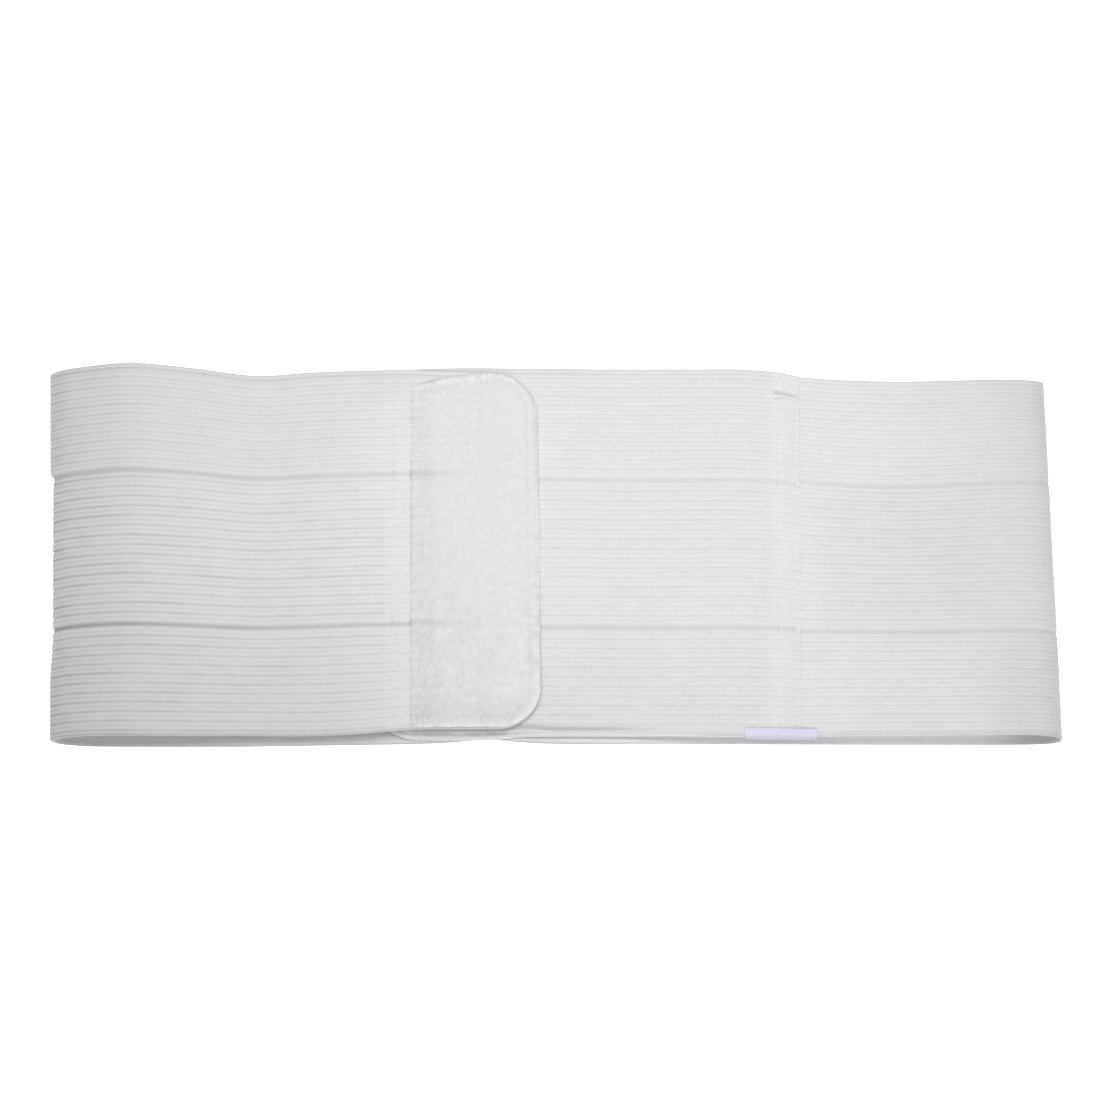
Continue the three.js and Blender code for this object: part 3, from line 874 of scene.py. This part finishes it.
def patch_object(name, band, patch, outer_base, thread_corners=None):
    """Soft slab with its outer face at outer_base; the seen one has the zigzag's corners."""
    x, across, edge = patch_grid(patch)
    drifted = [place - groove_drift(x, place) for place in groove_places(PANELS)]
    off = np.min([np.abs(across - place) for place in drifted], axis=0)
    fade = DENT_FREE_SHARE + DENT_GROWTH(x)
    dent = fade * DENT(off)
    pressed = patch.wall * (EDGE_PRESS(edge) + EDGE_SLOPE(edge))
    numbers = np.random.RandomState(patch.seed)
    toward_near = NEAR_END(across)
    pile = patch.pile * (1 + NEAR_FUZZ * toward_near)
    blotches = mottling(x, across, patch.seed + 2, FINE_BLOTCHES)
    blotches = blotches + mottling(x, across, patch.seed + 3, WIDE_BLOTCHES)
    grain = GRAIN_RANDOM * numbers.uniform(-1, 1, across.shape) + mottling(x, across, patch.seed, GRAIN)
    soft = ripple(x, across, patch.seed + 1, PILE_RIPPLE) + BLOTCH_HEIGHT * pile * blotches
    height = outer_base - patch.dent * dent - pressed + (pile * grain + soft) * FUZZ_RIM(edge)
    # Painted shade in the dents, pits and showing ribs and toward the near edge, and painted highlights on
    # the puffs; the blotches are the pile's own uneven tone
    tone = 1 - DENT_PAINTED_SHADE * dent * fade * (patch.dent > 0)
    tone = tone * (1 + BLOTCH_SHADE * (1 + toward_near) * blotches)
    under = np.full(across.shape, outer_base - patch.wall)
    if thread_corners is not None:
        columns = rib_columns(PANELS)
        from_fixed = x - patch.end
        ribs = np.interp(across, columns.across[0], columns.drop[0]) * RIBS_SHOW(from_fixed)
        puffs = edge_spots(x, across, thread_corners, PUFF_SEED, PUFF)
        pits = edge_spots(x, across, thread_corners[1:], PIT_SEED, PIT)
        ramp = RAMP(from_fixed)
        droop = (END_DROOP + END_PINCH) * end_droop(x, across)
        under = under - RAMP_UNDER_DROP * ramp - droop
        height = height + PUFF_HEIGHT * puffs - RAMP_DROP * ramp - RIBS_SHOW_DEPTH * ribs - droop
        height = np.maximum(height, under + THINNEST_PILE)
        tone = tone * (1 - NEAR_PAINTED_SHADE(across))
        tone = tone * (1 + PUFF_PAINTED_HIGHLIGHT * puffs - PIT_PAINTED_SHADE * pits - RIBS_SHOW_PAINTED_SHADE * ribs / DEEP_VALLEY)
    inner = slice(None, None, 2)
    outer = band.on_top(x.ravel(), across.ravel(), height.ravel())
    inside = band.on_top(x[:, inner].ravel(), across[:, inner].ravel(), under[:, inner].ravel())
    weave = np.stack([-x, across], axis=2)
    return shell_object(name, outer.reshape(*x.shape, 3), inside.reshape(len(x), -1, 3), weave, tone)


# Thread. A stitch is (start, end, lift).

def thread_object(name, stitches):
    sides = THREAD_SIDES
    turn = np.linspace(0, 2 * math.pi, sides, endpoint=False)
    share = np.linspace(0, 1, THREAD_STEPS + 1)
    arch = np.sin(math.pi * share) ** ARCH_POWER
    points, faces = [], []
    for start, end, lift in stitches:
        forward = (end - start) / np.linalg.norm(end - start)
        side = np.cross(forward, UP)
        side /= np.linalg.norm(side)
        rise = np.cross(side, forward)
        base = len(points)
        for place, height in zip(share, arch):
            centre = start + (end - start) * place + rise * (lift * height)
            size = THREAD / 2 * (1 - THREAD_TAPER + THREAD_TAPER * math.sin(math.pi * place))
            for a in turn:
                points.append(centre + size * (math.cos(a) * side + math.sin(a) * rise))
        for step in range(THREAD_STEPS):
            for k in range(sides):
                a = base + step * sides + k
                b = base + step * sides + (k + 1) % sides
                faces.append((a, b, b + sides, a + sides))
        faces.append(tuple(base + k for k in reversed(range(sides))))
        faces.append(tuple(base + THREAD_STEPS * sides + k for k in range(sides)))
    mesh = bpy.data.meshes.new(name)
    mesh.from_pydata(to_metres(points).tolist(), [], faces)
    mesh.polygons.foreach_set("use_smooth", np.ones(len(faces), bool))
    return link(name, mesh)


def row_stations(rows):
    places = [row.x + off for row in rows for off in ROW_STATIONS]
    return [x for x in places if x < LAP_EDGE - LAP_CLEARANCE]


def straight_rows(band, panels, rows):
    """Stitches from each deep valley to the next, and their needle holes."""
    columns = rib_columns(panels)
    stitches, holes = [], []
    for row in rows:
        numbers = np.random.RandomState(row.seed)
        valleys = columns.across[np.isclose(columns.drop, DEEP_VALLEY)]
        valleys = valleys[(valleys > row.margin) & (valleys < WIDTH - row.margin)]
        shifts = numbers.uniform(-ROW_JITTER, ROW_JITTER, len(valleys))
        low = band.on_top(row.x + shifts, valleys, WALL / 2 - ROW_SINK - LAP_THINNING(LAP_EDGE - row.x))
        for start, end in zip(low[:-1], low[1:]):
            gap = (end - start) * ROW_GAP
            if np.linalg.norm(end - start) > SHORTEST_SPAN:
                stitches.append((start + gap, end - gap, ROW_LIFT))
        holes += [Hole(row.x + shift, place, row.shade) for shift, place in zip(shifts, valleys)]
    return stitches, holes


def patch_outline(patch, margin):
    """Points round the patch's far, free and near sides, at a margin inside its edge."""
    radius = CORNER_RADIUS - patch.near_inset - margin
    centre = patch.start - margin - radius
    low = patch.near_inset + margin
    high = WIDTH - patch.far_inset - margin
    turns = np.linspace(0, math.pi / 2, OUTLINE_TURNS)
    side_x = np.linspace(patch.end, centre, OUTLINE_STEPS)[:-1]
    far_side = np.stack([side_x, WIDTH - margin - far_inset(patch, side_x)], axis=1)
    sine, cosine = radius * np.sin(turns), radius * np.cos(turns)
    far_corner = np.stack([centre + sine, high - radius + cosine], axis=1)
    near_corner = np.stack([centre + cosine, low + radius - sine], axis=1)
    return np.concatenate([far_side, far_corner, near_corner, [(patch.end, low)]])


def zigzag_corners(patch):
    """Corners of the zigzag round the patch's loose sides: x and place across."""
    line = patch_outline(patch, ZIGZAG_MARGIN)
    length = length_along(line)
    marks = np.arange(ZIGZAG_ENDS, length[-1] - ZIGZAG_ENDS, ZIGZAG_PITCH / 2)
    places = np.stack([np.interp(marks, length, line[:, 0]), np.interp(marks, length, line[:, 1])], axis=1)
    heading = unit(np.gradient(places, axis=0))
    outward = np.stack([-heading[:, 1], heading[:, 0]], axis=1)
    swing = np.where(np.arange(len(marks)) % 2 == 0, 0.5, -0.5) * ZIGZAG_REACH
    return places + outward * swing[:, None]


def zigzag(band, corners, base_height):
    """Stitches from corner to corner; every first corner lies at the patch's edge."""
    x, across = corners.T
    height = base_height - np.where(np.arange(len(corners)) % 2 == 0, ZIGZAG_EDGE_SINK, ZIGZAG_INNER_SINK)
    height = height - RAMP_DROP * RAMP(x - PILE_PATCH.end)
    height = height - (END_DROOP + END_PINCH) * end_droop(x, across)
    places = band.on_top(x, across, height)
    return [(start, end, ZIGZAG_LIFT) for start, end in zip(places[:-1], places[1:])]


def bar_tack(band):
    """The dense bar of short stitches, its loose thread end and its pucker."""
    stitches = []
    for count, x in enumerate(TACK_X):
        sway = TACK_SWAY * math.sin(TACK_SWAY_TURN * count)
        height = WALL / 2 + TACK_HEIGHT - LAP_THINNING(LAP_EDGE - x)
        start, end = band.on_top([x, x + TACK_SLANT], TACK_ACROSS + sway, height)
        stitches.append((start, end, TACK_LIFT))
    stitches.append((*band.on_top(*LOOSE_END), LOOSE_LIFT))
    return stitches, [Hole(x, PUCKER_ACROSS, PUCKER_PAINTED_SHADE) for x in PUCKER_X]


# The ribbon at the seam

def tag_object():
    """Ribbon folded round the near edge of both layers, and its laid-out width."""
    table = TAG_SECTIONS[::-1]
    xs = np.linspace(table[0].x, table[-1].x, TAG_ROWS)[::-1]
    top = np.interp(xs, [row.x for row in table], [row.top for row in table])
    under = np.interp(xs, [row.x for row in table], [row.under for row in table])
    half = TAG_WALL / 2
    edge = UNDERLAP_SECTIONS[0].near + NEAR_DRAW - PIECE_GAP - half
    inner = edge + TAG_REACH
    turns = np.linspace(0, math.pi, TAG_TURNS)[1:-1]
    outer, inside = [], []
    for x, high, low in zip(xs, top + PIECE_GAP + half, under - PIECE_GAP - half):
        round_z = (high - low) / 2
        bend = min(round_z, TAG_BEND)
        line = [(y, low, 0, -1) for y in np.linspace(inner, edge + bend, TAG_LEG_STEPS)]
        for a in turns:
            y = edge + bend - bend * math.sin(a)
            z = (high + low) / 2 - round_z * math.cos(a)
            line.append((y, z, -math.sin(a), -math.cos(a)))
        line += [(y, high, 0, 1) for y in np.linspace(edge + bend, inner, TAG_LEG_STEPS)]
        outer.append([(x, y + ny * half, z + nz * half) for y, z, ny, nz in line])
        inside.append([(x, y - ny * half, z - nz * half) for y, z, ny, nz in line[::2]])
    outer = np.array(outer)
    run = length_along(outer[0])
    weave = np.stack(np.broadcast_arrays(xs[:, None], run[None, :]), axis=2)
    # Painted shade on the ribbon's underside and fold and at its hem
    tone = TAG_PAINTED_SHADE_TONE + TAG_TOP_TONE(np.linspace(0, 1, len(run))) - TAG_HEM_PAINTED_SHADE(run[-1] - run)
    tone = np.repeat(tone[None, :], TAG_ROWS, axis=0)
    return shell_object("tag_ribbon", outer, np.array(inside), weave, tone), run[-1]


# Materials

def set_inputs(shader, values):
    for name, value in values.items():
        shader.inputs[name].default_value = value


def new_material(name, look):
    material = bpy.data.materials.new(name)
    material.use_nodes = True
    shader = material.node_tree.nodes["Principled BSDF"]
    finish = {
        "Base Color": (*look.colour, 1),
        "Roughness": look.roughness,
        "Specular IOR Level": SPECULAR,
        "Sheen Weight": look.sheen,
        "Sheen Roughness": SHEEN_ROUGHNESS,
    }
    set_inputs(shader, finish)
    return material, material.node_tree, shader


def node(tree, kind, inputs=None, **settings):
    made = tree.nodes.new(kind)
    for name, value in settings.items():
        setattr(made, name, value)
    set_inputs(made, inputs or {})
    return made


def cloth_place(tree):
    return node(tree, "ShaderNodeUVMap", uv_map="weave").outputs["UV"]


def object_place(tree):
    return node(tree, "ShaderNodeTexCoord").outputs["Object"]


# The tone attribute carries the cloth's tone, mostly painted shade and painted light, into its colour
def point_tone(tree):
    return node(tree, "ShaderNodeAttribute", attribute_name="tone").outputs["Fac"]


def multiplied(tree, first, second):
    """A varying colour multiplied by a plain colour or by another varying one."""
    mix = node(tree, "ShaderNodeMix", {"Factor": 1}, data_type="RGBA", blend_type="MULTIPLY")
    tree.links.new(first, mix.inputs[6])
    if isinstance(second, tuple):
        mix.inputs[7].default_value = (*second, 1)
    else:
        tree.links.new(second, mix.inputs[7])
    return mix.outputs[2]


def mottled(tree, vector, scale, detail, low, high):
    ramp = node(tree, "ShaderNodeMapRange", {"To Min": low, "To Max": high})
    tree.links.new(noise(tree, vector, scale, detail), ramp.inputs["Value"])
    return ramp.outputs["Result"]


def noise(tree, vector, scale, detail):
    made = node(tree, "ShaderNodeTexNoise", {"Scale": scale, "Detail": detail})
    tree.links.new(vector, made.inputs["Vector"])
    return made.outputs["Fac"]


def bumped(tree, shader, height, distance, strength):
    bump = node(tree, "ShaderNodeBump", {"Distance": distance, "Strength": strength})
    tree.links.new(height, bump.inputs["Height"])
    tree.links.new(bump.outputs["Normal"], shader.inputs["Normal"])


def elastic_material():
    material, tree, shader = new_material("ribbed_elastic", ELASTIC)
    place = object_place(tree)
    brick = {
        "Scale": 1,
        "Brick Width": 1.3,
        "Row Height": 1,
        "Mortar Size": 0.16,
        "Mortar Smooth": 1,
        "Color1": (0.975, 0.975, 0.975, 1),
        "Color2": WHITE,
        "Mortar": (0.96, 0.96, 0.96, 1),
    }
    loops = node(tree, "ShaderNodeTexBrick", brick, offset=0.5)
    tree.links.new(cloth_place(tree), loops.inputs["Vector"])
    colour = multiplied(tree, point_tone(tree), ELASTIC.colour)
    colour = multiplied(tree, colour, loops.outputs["Color"])
    colour = multiplied(tree, colour, mottled(tree, place, scale=90, detail=3, low=0.965, high=1.02))
    tree.links.new(colour, shader.inputs["Base Color"])
    relief = node(tree, "ShaderNodeMath", operation="SUBTRACT")
    fuzz = mottled(tree, place, scale=2600, detail=2, low=0, high=0.45)
    tree.links.new(fuzz, relief.inputs[0])
    tree.links.new(loops.outputs["Fac"], relief.inputs[1])
    bumped(tree, shader, relief.outputs["Value"], distance=0.0001, strength=0.7)
    return material


def pile_material(name, look, scale):
    material, tree, shader = new_material(name, look)
    place = object_place(tree)
    coarse = mottled(tree, place, scale=scale, detail=4, low=0.93, high=1.05)
    fine = mottled(tree, place, scale=scale * 5, detail=3, low=0.95, high=1.04)
    shade = multiplied(tree, multiplied(tree, point_tone(tree), look.colour), coarse)
    tree.links.new(multiplied(tree, shade, fine), shader.inputs["Base Color"])
    fuzz = noise(tree, place, scale=scale * 6, detail=4)
    bumped(tree, shader, fuzz, distance=0.0003, strength=0.7)
    return material


def ribbon_material():
    material, tree, shader = new_material("pale_ribbon", RIBBON)
    checks = {"Scale": 2.4, "Color1": (0.95, 0.95, 0.95, 1), "Color2": WHITE}
    weave = node(tree, "ShaderNodeTexChecker", checks)
    tree.links.new(cloth_place(tree), weave.inputs["Vector"])
    colour = multiplied(tree, multiplied(tree, point_tone(tree), RIBBON.colour), weave.outputs["Color"])
    tree.links.new(colour, shader.inputs["Base Color"])
    bumped(tree, shader, weave.outputs["Fac"], distance=0.00008, strength=0.6)
    return material


def thread_material():
    material, tree, shader = new_material("white_thread", WHITE_THREAD)
    place = object_place(tree)
    mottle = mottled(tree, place, scale=1500, detail=2, low=0.93, high=1.03)
    tree.links.new(multiplied(tree, mottle, WHITE_THREAD.colour), shader.inputs["Base Color"])
    twist = noise(tree, place, scale=4000, detail=2)
    bumped(tree, shader, twist, distance=0.0001, strength=0.5)
    return material


def floor_material():
    material, _, shader = new_material("pale_floor", FLOOR)
    set_inputs(shader, {"Emission Color": WHITE, "Emission Strength": FLOOR_GLOW})
    return material


# The pieces

def place_piece(piece, material, replaced=None):
    piece.data.materials.append(material)
    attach(piece, "root")
    if replaced:
        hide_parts(replaced)
    return piece


def build_belt():
    elastic = elastic_material()
    pile = pile_material("white_pile", PILE, PILE_MOTTLE)
    hooks = pile_material("hook_tape", HOOKS, HOOK_MOTTLE)
    ribbon = ribbon_material()
    thread = thread_material()

    main = Band(MAIN_SECTIONS, row_stations(PATCH_ROWS), MAIN_SECTIONS[0].x)
    underlap = Band(UNDERLAP_SECTIONS, row_stations(SEAM_ROWS), UNDERLAP_SECTIONS[-1].x)
    seam_stitches, seam_holes = straight_rows(underlap, UNDERLAP_PANELS, SEAM_ROWS)
    tack_stitches, pucker = bar_tack(underlap)
    patch_stitches, patch_holes = straight_rows(main, PANELS, PATCH_ROWS)

    main_cloth = band_mesh(main, MAIN_STRIP, soft_main, patch_holes)
    place_piece(main_cloth, elastic, "main_band")
    underlap_cloth = band_mesh(underlap, UNDERLAP_STRIP, soft_underlap, seam_holes + pucker)
    place_piece(underlap_cloth, elastic, "underlap_band")

    pile_base = WALL / 2 + PIECE_GAP + PILE_PATCH.wall
    corners = zigzag_corners(PILE_PATCH)
    pile_cloth = patch_object("closure_pile", main, PILE_PATCH, pile_base, corners)
    place_piece(pile_cloth, pile, "closure_patch")
    hook_cloth = patch_object("hook_tape", main, HOOK_TAPE, -WALL / 2 - PIECE_GAP)
    place_piece(hook_cloth, hooks, "hook_patch")
    tag_cloth, tag_length = tag_object()
    place_piece(tag_cloth, ribbon, "seam_tag")

    sewn, rows, seam, tack = (
        place_piece(thread_object(name, stitches), thread)
        for name, stitches in (
            ("patch_zigzag", zigzag(main, corners, pile_base)),
            ("patch_rows", patch_stitches),
            ("seam_rows", seam_stitches),
            ("seam_bar_tack", tack_stitches),
        )
    )


# The floor, the light and the view

def build_floor():
    mesh = bpy.data.meshes.new("floor")
    corners = [(x * FLOOR_HALF, y * FLOOR_HALF, 0) for x, y in ((-1, -1), (1, -1), (1, 1), (-1, 1))]
    mesh.from_pydata(corners, [], [(0, 1, 2, 3)])
    floor = link("floor", mesh)
    mesh.materials.append(floor_material())


def build_light():
    world = bpy.data.worlds.new("studio")
    world.use_nodes = True
    set_inputs(world.node_tree.nodes["Background"], {"Color": WHITE, "Strength": WORLD_STRENGTH})
    bpy.context.scene.world = world
    for row in LAMPS:
        light = bpy.data.lights.new(row.name, "AREA")
        light.shape = "DISK"
        light.size = row.size
        light.energy = row.power
        lamp = link(row.name, light)
        lamp.location = row.place
        aim = Vector(row.target) - Vector(row.place)
        lamp.rotation_euler = aim.to_track_quat("-Z", "Y").to_euler()


def build_camera():
    camera = bpy.data.cameras.new("camera")
    camera.sensor_width = SENSOR
    camera.lens = SENSOR * VIEW_DISTANCE * PIXELS_PER_MM / IMAGE_PIXELS
    camera.clip_end = VIEW_CLIP
    view = link("camera", camera)
    tilt = math.radians(VIEW_ELEVATION)
    away = np.array([0, -math.cos(tilt), math.sin(tilt)]) * VIEW_DISTANCE
    view.location = to_metres(np.array(VIEW_CENTRE) + away)
    view.rotation_euler = (math.radians(90 - VIEW_ELEVATION), 0, 0)
    bpy.context.scene.camera = view


build_camera()
build_belt()
build_floor()
build_light()
bpy.context.scene.view_settings.view_transform = "Standard"
